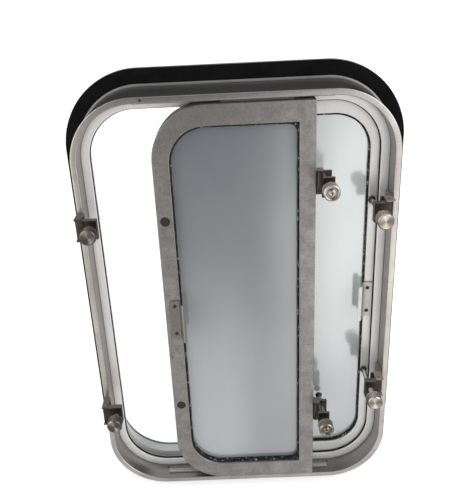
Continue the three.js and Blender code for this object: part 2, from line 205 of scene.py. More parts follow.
def metal(name, light, dark, rough=0.36, spread=0.12, grain="Z", mottle=0.35, mottle_scale=26.0,
          pits=0.25, wear=0.5, corner_shade=0.6, bump=0.12, metallic=1.0, tint=None, top=0.0,
          side_shade=0.0, grit=0.0, lit_depth=None):
    """Worn satin metal: brushed grain, cloudy oxide, small pits, rubbed edges, painted shade in
    corners.

    spread is the variation of rough, grain the brushing axis, top the dust and painted light on
    upward faces, side_shade the painted shade on faces that run front to back, grit the strength
    of blasted specks, and lit_depth the y in metres behind which inward faces are painted pale as
    painted light.
    """
    m = new_material(name)
    brushed = m.noise(900.0, detail=3.0, rough=0.6, stretch=GRAIN_STRETCH[grain])
    cloud = m.noise(mottle_scale, detail=6.0, rough=0.62, distort=0.3)
    patch = m.noise(mottle_scale * 0.28, detail=3.0, rough=0.5, stretch=(1, 1, 0.6))
    speck = m.noise(520.0, detail=2.0, rough=0.5)
    color = m.mix(m.remap(cloud, span=(0.30, 0.72)), light, dark)
    color = m.mix(mottle, light, color)
    color = m.mix(m.remap(patch, span=(0.35, 0.75), to=(0.0, 0.30)), color,
                  tint or shade(light, 0.86))
    color = m.mix(m.remap(brushed, span=(0.25, 0.80), to=(0.0, 0.22)), color, dark)
    if grit:
        # blasted grain: fine dark and light specks
        specks = m.noise(430.0, detail=3.0, rough=0.65)
        color = m.mix(m.remap(specks, span=(0.50, 0.66), to=(0.0, grit)), color,
                      shade(dark, 0.60))
        color = m.mix(m.remap(specks, span=(0.46, 0.34), to=(0.0, grit)), color,
                      shade(light, 1.35, lift=0.02))
    pit = m.remap(speck, span=(0.70, 0.78), to=(0.0, pits))
    color = m.mix(pit, color, shade(dark, 0.35))
    edge = m.edge()
    color = m.mix(m.times(edge, wear), color, shade(light, 1.35, lift=0.04))
    # painted shade: darker in corners and recesses, by ambient occlusion
    dark_mask = m.dark_mask()
    color = m.mix(m.times(dark_mask, corner_shade), color, (0.030, 0.026, 0.022))
    if side_shade:
        # painted shade: faces that run front to back are painted darker than the ones that face
        # the room
        normal_y = m.math("ABSOLUTE", m.split(m.normal())[1])
        color = m.mix(m.remap(normal_y, span=(0.25, 0.75), to=(side_shade, 0.0)), color,
                      shade(light, 0.35))
    # corners darkened as painted shade also mirror less, and so do the faces painted pale behind
    # the ledge and the dusty, painted-light tops
    metalness = m.minus(metallic, m.times(dark_mask, 0.5 * metallic))
    if lit_depth is not None:
        # painted light: inward faces behind the ledge are painted pale and made mostly
        # non-metallic, standing in for the daylight they catch from the far side
        normal = m.split(m.normal())
        place = m.split(m.coords())
        inward = m.plus(m.times(normal[0], place[0]), m.times(normal[2], place[2]))
        lit_inside = m.times(m.remap(inward, span=(-0.01, -0.05)),
                        m.remap(place[1], span=(lit_depth, lit_depth + 0.003)))
        color = m.mix(lit_inside, color, (0.93, 0.925, 0.91))
        metalness = m.times(metalness, m.minus(1.0, m.times(lit_inside, 0.85)))
    if top:
        # upward faces are paler and less metallic: partly dust, partly painted light standing in
        # for the bright room above that they mirror
        dust = m.times(m.remap(m.split(m.normal())[2], span=(0.45, 0.90)), top)
        color = m.mix(dust, color, (0.62, 0.585, 0.545))
        metalness = m.times(metalness, m.minus(1.0, m.times(dust, 0.8)))
    # roughness follows the clouds and the grain, less on rubbed edges, more in the occluded
    # corners
    roughness = m.plus(rough - spread / 2, m.times(cloud, spread))
    roughness = m.plus(roughness, m.times(brushed, spread * 0.6))
    roughness = m.minus(roughness, m.times(edge, 0.10))
    roughness = m.plus(roughness, m.times(dark_mask, 0.25))
    # relief: grain and clouds stand up, pits sink
    height = m.plus(m.times(brushed, 0.6), m.times(cloud, 0.5))
    height = m.minus(height, m.times(pit, 1.2))
    return m.finish(m.add("ShaderNodeBsdfPrincipled", {
        "Base Color": color,
        "Metallic": metalness,
        "Roughness": m.math("MINIMUM", m.math("MAXIMUM", roughness, 0.06), 0.95),
        "Normal": m.bump(height, strength=bump, distance=0.0003)}))


def turned_metal(name, light, dark, rough=0.25, wedge_highlight=1.0):
    """Lathe-turned steel: rings about the object's own Y axis and a painted highlight in wedges.
    """
    m = new_material(name)
    position = m.position()
    x, y, z = m.split(position)
    radius = m.math("SQRT", m.plus(m.math("POWER", x, 2.0), m.math("POWER", z, 2.0)))
    rings_at = m.add("ShaderNodeCombineXYZ", {0: radius, 1: y}).outputs[0]
    ring_marks = m.noise(2600.0, detail=2.0, rough=0.6, vector=rings_at)
    cloud = m.noise(140.0, detail=5.0, rough=0.6, distort=0.2, vector=position)
    color = m.mix(m.remap(cloud, span=(0.35, 0.70), to=(0.0, 0.55)), light, dark)
    color = m.mix(m.remap(ring_marks, span=(0.30, 0.75), to=(0.0, 0.30)), color, dark)
    # painted highlight and shade standing in for the light the lathe marks throw: two opposite
    # bright wedges, centred 1.85 rad round from +x, darker between them
    turn = m.minus(m.math("ARCTAN2", z, x), 1.85)
    wedge_light = m.math("POWER", m.math("ABSOLUTE", m.math("COSINE", turn)), 2.6)
    color = m.mix(m.remap(wedge_light, span=(0.0, 0.9), to=(0.80 * wedge_highlight, 0.0)), color,
                  shade(light, 0.22))
    color = m.mix(m.remap(wedge_light, span=(0.80, 1.0), to=(0.0, 0.55 * wedge_highlight)), color,
                  shade(light, 1.55))
    color = m.mix(m.times(m.edge(radius=0.0005), 0.6), color, shade(light, 1.3, lift=0.05))
    # painted shade: darker in corners and recesses, by ambient occlusion
    dark_mask = m.dark_mask(distance=0.005)
    color = m.mix(m.times(dark_mask, 0.5), color, (0.022, 0.018, 0.015))
    tangent = m.add("ShaderNodeTangent", direction_type="RADIAL", axis="Y")
    # clouds vary the roughness either way and the occluded corners raise it
    roughness = m.plus(rough, m.times(m.minus(cloud, 0.5), 0.16))
    roughness = m.plus(roughness, m.times(dark_mask, 0.3))
    return m.finish(m.add("ShaderNodeBsdfPrincipled", {
        "Base Color": color,
        "Metallic": 1.0,
        "Anisotropic": 0.92,
        "Anisotropic Rotation": 0.25,
        "Tangent": tangent.outputs[0],
        "Roughness": m.math("MAXIMUM", roughness, 0.08),
        "Normal": m.bump(ring_marks, strength=0.10, distance=0.0002)}))


def rubber(name, color, rough, specular, speckle=0.0, fleck=None):
    """Cloudy dark rubber with rubbed edges; speckle is the strength of fleck-coloured bits."""
    m = new_material(name)
    place = m.coords()
    fine = m.noise(900.0, detail=3.0, vector=place)
    cloud = m.noise(38.0, detail=5.0, rough=0.6, vector=place)
    tone = m.mix(m.remap(cloud, span=(0.35, 0.75), to=(0.0, 0.8)), color,
                 shade(color, 2.6, lift=0.004))
    tone = m.mix(m.times(m.edge(radius=0.0008), 0.45), tone, shade(color, 3.0, lift=0.03))
    if speckle:
        bits = m.noise(210.0, detail=4.0, rough=0.7, stretch=(1, 1, 0.55))
        tone = m.mix(m.remap(bits, span=(0.575, 0.63), to=(0.0, speckle)), tone, fleck)
    # painted shade: darker in corners and recesses, by ambient occlusion
    tone = m.mix(m.times(m.dark_mask(distance=0.006), 0.4), tone, (0.005, 0.005, 0.005))
    height = m.plus(m.times(fine, 0.5), cloud)
    return m.finish(m.add("ShaderNodeBsdfPrincipled", {
        "Specular IOR Level": specular,
        "Base Color": tone,
        "Roughness": m.plus(rough - 0.1, m.times(fine, 0.22)),
        "Normal": m.bump(height, strength=0.25, distance=0.0004)}))


def plastic(name, color, rough):
    m = new_material(name)
    place = m.coords()
    fine = m.noise(700.0, detail=3.0, vector=place)
    cloud = m.noise(45.0, detail=5.0, vector=place)
    tone = m.mix(m.remap(cloud, span=(0.3, 0.75), to=(0.0, 0.5)), color, shade(color, 0.78))
    # painted shade: darker in corners and recesses, by ambient occlusion
    tone = m.mix(m.times(m.dark_mask(distance=0.006), 0.5), tone, (0.05, 0.045, 0.04))
    return m.finish(m.add("ShaderNodeBsdfPrincipled", {
        "Base Color": tone,
        "Roughness": m.plus(rough - 0.08, m.times(fine, 0.2)),
        "Normal": m.bump(fine, strength=0.18, distance=0.0003)}))


def obscured_glass(name, top, middle, bottom, gloss, rough=0.07, smear=0.25, dark_reflection=None,
                   lit_side=None, glow=0.0):
    """Obscured safety glass: a milky body with a painted reflection graded in height, a soft
    mirror, smears and dust.

    dark_reflection is (centre x, half width, amount) in metres, a painted dark reflection
    strongest low down; lit_side is (start x, end x, amount), strongest high up; glow is a painted
    glow standing in for daylight from the far side.
    """
    m = new_material(name)
    x, _, z = m.split(m.position())
    window_half = WINDOW_HALF_HEIGHT * MM
    height = m.remap(z, span=(-window_half, window_half))
    # painted reflection: the body colour is graded from bottom to top, standing in for the
    # reflected room
    color = m.ramp(height, [(0.0, bottom), (0.45, middle), (1.0, top)])
    if dark_reflection:
        # painted reflection: a dark band, strongest low down
        centre, half, amount = dark_reflection
        away = m.math("ABSOLUTE", m.minus(x, centre))
        band = m.times(m.remap(away, span=(half * 0.15, half), to=(amount, 0.0), smooth=True),
                       m.remap(height, span=(0.50, 0.78), to=(1.0, 0.0)))
        color = m.mix(band, color, shade(middle, 0.55))
    if lit_side:
        start, end, amount = lit_side
        lit = m.times(m.remap(x, span=(start, end), to=(0.0, amount), smooth=True),
                      m.remap(height, span=(0.45, 0.75)))
        color = m.mix(lit, color, shade(middle, 1.25))
    cloud = m.noise(7.0, distort=0.6, stretch=(1, 1, 0.35))
    color = m.mix(m.remap(cloud, span=(0.35, 0.75), to=(0.0, smear)), color,
                  shade(middle, 1.12, lift=0.02))
    streak = m.noise(60.0, detail=3.0, stretch=(1.0, 1.0, 0.06))
    color = m.mix(m.remap(streak, span=(0.45, 0.8), to=(0.0, 0.10)), color, shade(middle, 0.8))
    dust = m.noise(1500.0, detail=2.0)
    spots = m.noise(90.0, detail=3.0, rough=0.5)
    dark_mask = m.remap(spots, span=(0.74, 0.78), to=(0.0, 0.5))
    color = m.mix(dark_mask, color, (0.16, 0.15, 0.13))
    body_inputs = {"Base Color": color, "Roughness": 0.55, "IOR": 1.5}
    if glow:
        # painted glow standing in for daylight from the far side, stronger towards the top
        body_inputs["Emission Color"] = color
        body_inputs["Emission Strength"] = m.remap(height, span=(0.30, 1.0),
                                                   to=(0.12 * glow, glow))
    body = m.add("ShaderNodeBsdfPrincipled", body_inputs)
    relief = m.plus(m.times(dust, 0.3), cloud)
    mirror = m.add("ShaderNodeBsdfAnisotropic", {
        "Color": (0.93, 0.96, 0.98, 1),
        "Roughness": m.plus(rough, m.times(cloud, 0.06)),
        "Normal": m.bump(relief, strength=0.02, distance=0.0003)})
    # the mirror is stronger at grazing angles and weaker on dirt spots
    fresnel = m.add("ShaderNodeLayerWeight", {"Blend": 0.35}).outputs["Fresnel"]
    mirror_share = m.plus(gloss, m.times(fresnel, 0.35))
    mirror_share = m.minus(mirror_share, m.times(dark_mask, 0.3))
    return m.finish(m.add("ShaderNodeMixShader",
                          {0: mirror_share, 1: body.outputs[0], 2: mirror.outputs[0]}))


# =====================================================================================
# finishes
# =====================================================================================
FRAME_METAL = metal(
    "frame_satin", light=(0.66, 0.635, 0.61), dark=(0.38, 0.355, 0.33), rough=0.27, spread=0.10,
    mottle=0.75, side_shade=0.86, grit=0.16, lit_depth=0.021, mottle_scale=22.0, pits=0.35, wear=0.45,
    corner_shade=0.55)
FLANGE_METAL = metal(
    "flange_dark", light=(0.36, 0.35, 0.34), dark=(0.20, 0.195, 0.19), rough=0.4, grain=None,
    mottle=0.6, mottle_scale=18.0, metallic=0.7, wear=0.2, corner_shade=0.4, bump=0.25)
FLANGE_RUBBER = rubber("flange_rubber", color=(0.002, 0.002, 0.002), rough=0.80, specular=0.12)
SEAL_RUBBER = rubber("glazing_rubber", color=(0.005, 0.0055, 0.0055), rough=0.50, specular=0.22,
                     speckle=0.8, fleck=(0.42, 0.44, 0.43))
GASKET_RUBBER = rubber("gasket_rubber", color=(0.005, 0.005, 0.005), rough=0.6, specular=0.25)
# painted light: paler and less metallic than bare steel, so that diffuse light stands in for the
# bright reflections on the ledge
LEDGE_METAL = metal(
    "ledge_bright", light=(0.96, 0.94, 0.91), dark=(0.80, 0.78, 0.75), metallic=0.35, rough=0.34,
    mottle=0.45, mottle_scale=20.0, pits=0.2, wear=0.5, corner_shade=0.5)
FRONT_SASH_METAL = metal(
    "sash_blasted", light=(0.47, 0.457, 0.45), dark=(0.19, 0.181, 0.175), rough=0.31,
    spread=0.14, grain=None, mottle=0.75, mottle_scale=46.0, pits=0.9, wear=0.45, bump=0.42,
    grit=0.26)
RETAINER_METAL = metal(
    "retainer_satin", light=(0.48, 0.47, 0.46), dark=(0.30, 0.29, 0.28), rough=0.42)
# painted light: paler and less metallic than bare steel, so that diffuse light stands in for the
# bright reflections on the rear sash
REAR_SASH_METAL = metal(
    "rear_sash_satin", light=(0.92, 0.90, 0.87), dark=(0.70, 0.68, 0.65), metallic=0.45,
    rough=0.34, spread=0.10, mottle=0.55, mottle_scale=24.0, pits=0.35, wear=0.4, corner_shade=0.5,
    bump=0.2)
GLIDE_PLASTIC = plastic("glide_plastic", color=(0.40, 0.39, 0.37), rough=0.5)
STRIKE_METAL = metal(
    "strike_brown", light=(0.055, 0.038, 0.028), dark=(0.020, 0.014, 0.011), rough=0.55,
    grain=None, mottle=0.8, mottle_scale=160.0, metallic=0.55, pits=0.6, wear=0.3, bump=0.5)
FRONT_HANDLE_METAL = metal(
    "handle_satin", light=(0.34, 0.323, 0.31), dark=(0.20, 0.187, 0.175), rough=0.28, grain="X",
    mottle=0.4, mottle_scale=60.0, pits=0.2, wear=0.6)
REAR_HANDLE_METAL = metal(
    "handle_bright", light=(0.70, 0.68, 0.66), dark=(0.50, 0.485, 0.465), rough=0.30, grain="X",
    mottle=0.4, mottle_scale=60.0, metallic=0.5, pits=0.2, wear=0.6)
SCREW_METAL = metal(
    "small_screw", light=(0.13, 0.115, 0.10), dark=(0.05, 0.043, 0.037), rough=0.34, grain=None,
    mottle_scale=300.0, corner_shade=0.9)
BRACKET_METAL = metal(
    "clamp_tarnished", light=(0.125, 0.100, 0.080), dark=(0.045, 0.034, 0.027), grain="Y",
    mottle=0.8, mottle_scale=75.0, pits=0.5, wear=0.75, corner_shade=0.7, bump=0.25,
    tint=(0.16, 0.105, 0.065), top=0.35)
PALE_BRACKET_METAL = metal(
    "clamp_pale", light=(0.34, 0.305, 0.275), dark=(0.17, 0.148, 0.13), mottle=0.8,
    mottle_scale=75.0, pits=0.5, wear=0.75, corner_shade=0.7, bump=0.25, top=0.5)
ARM_METAL = metal(
    "arm_tarnished", light=(0.095, 0.078, 0.065), dark=(0.030, 0.024, 0.020), rough=0.42,
    grain=None, mottle=0.8, mottle_scale=90.0, pits=0.5, wear=0.9, corner_shade=0.7, bump=0.3, top=0.30)
PIN_METAL = metal(
    "pin_ground", light=(0.40, 0.36, 0.32), dark=(0.20, 0.17, 0.15), rough=0.28, grain=None,
    corner_shade=0.8)
KNOB_METAL = turned_metal(
    "knob_turned", light=(0.66, 0.60, 0.54), dark=(0.42, 0.36, 0.31))
# painted shade: a darker copy of the turned knob finish, for the knobs that look darker
KNOB_SHADED_METAL = turned_metal(
    "knob_turned_shaded", light=(0.32, 0.28, 0.24), dark=(0.155, 0.131, 0.110), rough=0.26)
KNOB_CAP_METAL = turned_metal(
    "knob_capped", light=(0.66, 0.60, 0.54), dark=(0.42, 0.36, 0.31), wedge_highlight=0.25)
# painted shade: a darker copy of the capped knob finish, for the knob that looks darker
KNOB_CAP_SHADED_METAL = turned_metal(
    "knob_capped_shaded", light=(0.40, 0.35, 0.30), dark=(0.20, 0.17, 0.145), wedge_highlight=0.35)
FOOT_METAL = metal(
    "foot_turned", light=(0.10, 0.085, 0.075), dark=(0.035, 0.030, 0.026), rough=0.38,
    grain=None, mottle_scale=160.0, wear=0.6)
FRONT_GLASS = obscured_glass(
    "front_obscured_glass", top=(0.138, 0.148, 0.163), middle=(0.275, 0.287, 0.294),
    bottom=(0.345, 0.363, 0.372), gloss=0.23, dark_reflection=(0.050, 0.085, 0.66),
    lit_side=(0.02, 0.085, 0.60))
REAR_GLASS = obscured_glass(
    "rear_obscured_glass", top=(0.56, 0.59, 0.58), middle=(0.455, 0.49, 0.482),
    bottom=(0.39, 0.43, 0.445), gloss=0.24, rough=0.09, smear=0.3, glow=0.36)


# =====================================================================================
# mesh building
# =====================================================================================
Part = namedtuple("Part", "name material body slot node")


def add_part(part, bm, origin=(0, 0, 0), sharp=32.0, weighted=True):
    """Closes off a bmesh drawn in millimetres as a piece that rides on a body.

    Edges that turn by more than sharp degrees stay sharp.
    """
    bmesh.ops.recalc_face_normals(bm, faces=bm.faces)
    for face in bm.faces:
        face.smooth = True
    limit = math.radians(sharp)
    for edge in bm.edges:
        edge.smooth = not (len(edge.link_faces) == 2 and edge.calc_face_angle(0.0) > limit)
    origin = Vector(origin)
    for vert in bm.verts:
        vert.co = (vert.co - origin) * MM
    mesh = bpy.data.meshes.new(part.name)
    bm.to_mesh(mesh)
    bm.free()
    ob = bpy.data.objects.new(part.name, mesh)
    ob.location = origin * MM
    scene.collection.objects.link(ob)
    mesh.materials.append(part.material)
    if weighted:
        normals = ob.modifiers.new("normals", "WEIGHTED_NORMAL")
        normals.keep_sharp = True
        normals.weight = 90
    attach(ob, part.body)
    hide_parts(part.node)


def bridge(bm, first, second):
    """Quads between two closed loops of vertices."""
    count = len(first)
    for j in range(count):
        k = (j + 1) % count
        bm.faces.new((first[j], first[k], second[k], second[j]))


def skin(bm, loops):
    """Bridges a run of loops and caps both ends."""
    for first, second in zip(loops, loops[1:]):
        bridge(bm, first, second)
    bm.faces.new(loops[0])
    bm.faces.new(loops[-1][::-1])


class Outline(namedtuple("Outline", "left right bottom top radii")):
    """Rounded rectangle in x and z; radii are top left, top right, bottom right, bottom left."""

    def inset(self, distance):
        return Outline(self.left + distance, self.right - distance, self.bottom + distance,
                       self.top - distance, [r - distance for r in self.radii])

    def points(self, steps, divisions=(1, 1)):
        """Runs anticlockwise seen from the room, from the right end of the top right corner.

        steps are per corner, in the order of the radii; divisions are those of the horizontal
        and of the upright sides.
        """
        tl, tr, br, bl = [max(r, 0.25) for r in self.radii]
        corners = [(self.right - tr, self.top - tr, tr, steps[1]),
                   (self.left + tl, self.top - tl, tl, steps[0]),
                   (self.left + bl, self.bottom + bl, bl, steps[3]),
                   (self.right - br, self.bottom + br, br, steps[2])]
        arcs = []
        for quarter, (x, z, radius, count) in enumerate(corners):
            angles = [math.pi / 2 * quarter + math.pi / 2 * i / count for i in range(count + 1)]
            arcs.append([(x + radius * math.cos(a), z + radius * math.sin(a)) for a in angles])
        points = []
        for i, arc in enumerate(arcs):
            points += arc
            (x0, z0), (x1, z1) = arc[-1], arcs[(i + 1) % 4][0]
            count = divisions[i % 2]
            points += [(x0 + (x1 - x0) * k / count, z0 + (z1 - z0) * k / count)
                       for k in range(1, count)]
        return points


def centred(half_width, half_height, radius):
    return Outline(-half_width, half_width, -half_height, half_height, [radius] * 4)


def corner_steps(outlines, small=4):
    """26 steps round a large corner, small steps round a tight one."""
    return [26 if max(o.radii[c] for o in outlines) > 20 else small for c in range(4)]


def band(outer, inner, front, back, fillets):
    """Rectangular section; fillets run outer front, outer back, inner back, inner front."""
    corners = [(outer, front), (outer, back), (inner, back), (inner, front)]
    return [(*corner, fillet) for corner, fillet in zip(corners, fillets)]


def fillet_section(section, steps=3):
    """Rounds a section of (outline, y, fillet) into points (outline, inset, y).

    Its sides run either along y, on one outline, or across from one outline to the next.
    """
    points = []
    for i, (outline, y, size) in enumerate(section):
        if size <= 0:
            points.append((outline, 0, y))
            continue
        before, after = section[i - 1], section[(i + 1) % len(section)]
        came_along_y = before[0] == outline
        along, across = (before, after) if came_along_y else (after, before)
        y_sign = 1.0 if along[1] > y else -1.0
        inset_sign = 1.0 if across[0].right < outline.right else -1.0
        arc = []
        for k in range(steps + 1):
            t = math.pi / 2 * k / steps
            arc.append((outline, inset_sign * size * (1 - math.cos(t)),
                        y + y_sign * size * (1 - math.sin(t))))
        points += arc if came_along_y else arc[::-1]
    return points


def waver(outline, x, y, z, amount, scale):
    """Pushes a point square to the nearest side by smooth noise."""
    push = (noise.noise(Vector((x * scale, z * scale, y * 0.2))) * amount
            + noise.noise(Vector((x * scale * 4, z * scale * 4, 9))) * amount * 0.5)
    middle_x = (outline.left + outline.right) / 2
    middle_z = (outline.bottom + outline.top) / 2
    dx, dz = x - middle_x, z - middle_z
    if abs(dx) / (outline.right - middle_x) > abs(dz) / (outline.top - middle_z):
        return x + (push if dx > 0 else -push), z
    return x, z + (push if dz > 0 else -push)


def ring(part, section, divisions, small_steps=4, wavy=None, amount=0.0, scale=0.0, cutters=()):
    """A closed section swept round rounded rectangles; the wavy outline is slightly uneven."""
    steps = corner_steps([row[0] for row in section], small_steps)
    bm = bmesh.new()
    loops = []
    for outline, inset, y in fillet_section(section):
        points = outline.inset(inset).points(steps, divisions)
        if outline is wavy:
            points = [waver(outline, x, y, z, amount, scale) for x, z in points]
        loops.append([bm.verts.new((x, y + RIM_Y, z)) for x, z in points])
    for first, second in zip(loops, loops[1:] + loops[:1]):
        bridge(bm, first, second)
    if cutters:
        bm = cut(bm, cutters)
    add_part(part, bm)


def slab(part, outline, front, back, fillet):
    """A plate with rounded edges."""
    steps = corner_steps([outline])
    section = []
    for k in range(4):
        t = math.pi / 2 * k / 3
        section.append((fillet * (1 - math.sin(t)), front + fillet * (1 - math.cos(t))))
    section += [(inset, back - (y - front)) for inset, y in section[::-1]]
    bm = bmesh.new()
    skin(bm, [[bm.verts.new((x, y + RIM_Y, z)) for x, z in outline.inset(inset).points(steps)]
              for inset, y in section])
    add_part(part, bm)


def round_profile(points, steps=3):
    """Rounds the corners of (r, y, fillet) points at any angle, giving (r, y)."""
    rounded = []
    for i, (r, y, size) in enumerate(points):
        if size <= 0 or i in (0, len(points) - 1):
            rounded.append((r, y))
            continue
        corner = Vector((r, y))
        back = Vector(points[i - 1][:2]) - corner
        ahead = Vector(points[i + 1][:2]) - corner
        reach = min(size, back.length * 0.45, ahead.length * 0.45)
        start = corner + back.normalized() * reach
        end = corner + ahead.normalized() * reach
        for k in range(steps + 1):
            t = k / steps
            point = start * (1 - t) ** 2 + corner * 2 * t * (1 - t) + end * t ** 2
            rounded.append((point.x, point.y))
    return rounded


def revolve(part, profile, x, z, segments, shape=None, sharp=32.0, weighted=True):
    """Solid of revolution about a line along Y; profile is (r, y) from axis to axis.

    shape(r, y, angle) can change the radius.
    """
    bm = bmesh.new()
    loops = []
    for r, y in profile:
        if r <= 1e-6:
            loops.append([bm.verts.new((x, y + RIM_Y, z))])
            continue
        loop = []
        for j in range(segments):
            angle = 2 * math.pi * j / segments
            radius = shape(r, y, angle) if shape else r
            loop.append(bm.verts.new((x + radius * math.cos(angle), y + RIM_Y,
                                      z + radius * math.sin(angle))))
        loops.append(loop)
    for first, second in zip(loops, loops[1:]):
        if len(first) > 1 and len(second) > 1:
            bridge(bm, first, second)
            continue
        for j in range(segments):
            k = (j + 1) % segments
            if len(first) == 1:
                bm.faces.new((first[0], second[k], second[j]))
            else:
                bm.faces.new((first[j], first[k], second[0]))
    depths = [y for _, y in profile]
    middle = (min(depths) + max(depths)) / 2
    add_part(part, bm, origin=(x, middle + RIM_Y, z), sharp=sharp, weighted=weighted)


def cylinder(radius, length, matrix):
    bm = bmesh.new()
    bmesh.ops.create_cone(bm, cap_ends=True, segments=40, radius1=radius, radius2=radius,
                          depth=length, matrix=matrix)
    return bm


def drill_y(radius, start, end, x, z):
    place = Matrix.Translation((x, (start + end) / 2 + RIM_Y, z))
    return cylinder(radius, end - start, place @ Matrix.Rotation(math.pi / 2, 4, "X"))


def drill_z(radius, start, end, x, y):
    return cylinder(radius, end - start, Matrix.Translation((x, y + RIM_Y, (start + end) / 2)))


def milled_slot(x, y, z):
    """A box cutter; x, y and z are (start, end)."""
    bm = bmesh.new()
    size = Matrix.Diagonal((x[1] - x[0], y[1] - y[0], z[1] - z[0], 1))
    place = Matrix.Translation((sum(x) / 2, sum(y) / 2 + RIM_Y, sum(z) / 2))
    bmesh.ops.create_cube(bm, size=1.0, matrix=place @ size)
    return bm


def temporary_object(name, bm):
    mesh = bpy.data.meshes.new(name)
    bm.to_mesh(mesh)
    bm.free()
    ob = bpy.data.objects.new(name, mesh)
    scene.collection.objects.link(ob)
    return ob


def cut(bm, cutters):
    """Boolean difference of a bmesh with a list of cutter bmeshes, as a new bmesh."""
    bmesh.ops.recalc_face_normals(bm, faces=bm.faces)
    target = temporary_object("tmp_cut", bm)
    temporary = [target]
    for cutter in cutters:
        modifier = target.modifiers.new("cut", "BOOLEAN")
        modifier.operation = "DIFFERENCE"
        modifier.solver = "EXACT"
        modifier.object = temporary_object("tmp_cutter", cutter)
        temporary.append(modifier.object)
    bpy.context.view_layer.update()
    depsgraph = bpy.context.evaluated_depsgraph_get()
    result = bmesh.new()
    result.from_mesh(target.evaluated_get(depsgraph).to_mesh())
    for ob in temporary:
        bpy.data.objects.remove(ob)
    return result


def keep_cad(node, material, bevel, segments=2):
    """Keeps a CAD node's shape: welds split corners, rounds edges, gives it a material."""
    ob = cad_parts[node]
    ob.data.materials.clear()
    ob.data.materials.append(material)
    weld = ob.modifiers.new("weld", "WELD")
    weld.merge_threshold = 0.00002
    rounding = ob.modifiers.new("bevel", "BEVEL")
    rounding.limit_method = "ANGLE"
    rounding.angle_limit = math.radians(32)
    rounding.width = bevel * MM
    rounding.segments = segments
    rounding.use_clamp_overlap = True
    normals = ob.modifiers.new("normals", "WEIGHTED_NORMAL")
    normals.keep_sharp = True
    for polygon in ob.data.polygons:
        polygon.use_smooth = True


# =====================================================================================
# frame
# =====================================================================================
DIVISIONS = (10, 14)               # of the straight sides of the metal rings


def build_frame():
    sleeve = centred(SLEEVE_HALF_WIDTH, SLEEVE_HALF_HEIGHT, SLEEVE_RADIUS)
    bore = sleeve.inset(SLEEVE_WALL)

    # two holes through the bottom wall, one blind hole in the front edge at the top
    holes = [drill_z(2.6, start=sleeve.bottom - 2, end=bore.bottom + 2, x=x, y=30)
             for x in (-152, 152)]
    holes.append(drill_y(2.0, start=-1, end=5, x=-135.4, z=356.6))
    ring(Part("sleeve", FRAME_METAL, "frame", "frame_metal", "frame_sleeve"),
         band(sleeve, bore, front=0, back=94, fillets=(1.4, 0.5, 0.5, 1.2)),
         DIVISIONS, cutters=holes)

    # flange plate behind the sleeve, with a collar that reaches forward round it
    flange = centred(276, 390, 127)
    collar_inner, collar_outer = sleeve.inset(-GAP), sleeve.inset(-COLLAR_WALL)
    plate_front, collar_front = 94.3, 89.3
    section = [(flange, plate_front, 0.8), (flange, FRAME_DEPTH, 0.8),
               (bore, FRAME_DEPTH, 0.6), (bore, plate_front, 0.4),
               (collar_inner, plate_front, 0), (collar_inner, collar_front, 0.5),
               (collar_outer, collar_front, 2.6), (collar_outer, plate_front, 0)]
    ring(Part("flange_plate", FLANGE_METAL, "frame", "flange_metal", "mounting_flange"),
         section, DIVISIONS)
    rubber_edge = flange.inset(0.5)
    ring(Part("flange_ring_rubber", FLANGE_RUBBER, "frame", "flange_rubber", "flange_gasket"),
         band(rubber_edge, sleeve.inset(-COLLAR_WALL - GAP), front=90, back=94,
              fillets=(1.3, 0.8, 0.5, 1.0)),
         divisions=(24, 34), wavy=rubber_edge, amount=0.22, scale=0.03)

    # rings inside the bore: ledge, its rubber and the rear retaining ring
    ring(Part("ledge", LEDGE_METAL, "frame", "ledge_metal", "track_ledge"),
         band(bore.inset(GAP), bore.inset(13.3), front=36, back=40,
              fillets=(0.25, 0.25, 0.7, 0.9)), DIVISIONS)
    rubber_edge = bore.inset(14.8)
    ring(Part("ledge_rubber", GASKET_RUBBER, "frame", "seal_rubber", "ledge_gasket"),
         band(bore.inset(1), rubber_edge, front=40.3, back=43.0, fillets=(0.3, 0.3, 0.8, 0.8)),
         divisions=(20, 28), wavy=rubber_edge, amount=0.18, scale=0.04)
    ring(Part("rear_ring", LEDGE_METAL, "frame", "ledge_metal", "rear_retaining_ring"),
         band(bore.inset(GAP), bore.inset(11), front=62.3, back=66.3,
              fillets=(0.25, 0.25, 0.7, 0.7)), DIVISIONS)
    for node in ("front_track_bottom", "front_track_top"):
        keep_cad(node, GLIDE_PLASTIC, bevel=0.4)


build_frame()

# =====================================================================================
# sashes
# =====================================================================================
# depths of a sash: its face, the back of the web round the window, the back of the skirt
# round the edge, then the front and back of the lip seal, of the pane and of the retainer
Depths = namedtuple("Depths", "face web_back skirt_back seal_front seal_back "
                              "pane_front pane_back retainer_front retainer_back")
FRONT_DEPTHS = Depths(-5.5, 4, 29.5, -2, 6.3, 6.6, 14.6, 14.9, 18.9)
REAR_DEPTHS = Depths(43.3, 49.3, 61.5, 45.8, 51.1, 51.4, 57.4, 57.7, 61.2)

# places (x, z) of the handle screws
FRONT_SCREWS = [(FRONT_LEFT + 16.2, 20.5), (FRONT_LEFT + 16.2, -31.0)]
REAR_SCREWS = [(REAR_RIGHT - 21, 14.5), (REAR_RIGHT - 21, -29.5)]
BOTTOM_SLOT_Z, TOP_SLOT_Z = (-350, -340.5), (340.5, 350)


def sash_radii(rounded_side, large, small):
    """Corner radii of a sash that is rounded on one side only."""
    if rounded_side == "left":
        return [large, small, small, large]
    return [small, large, large, small]


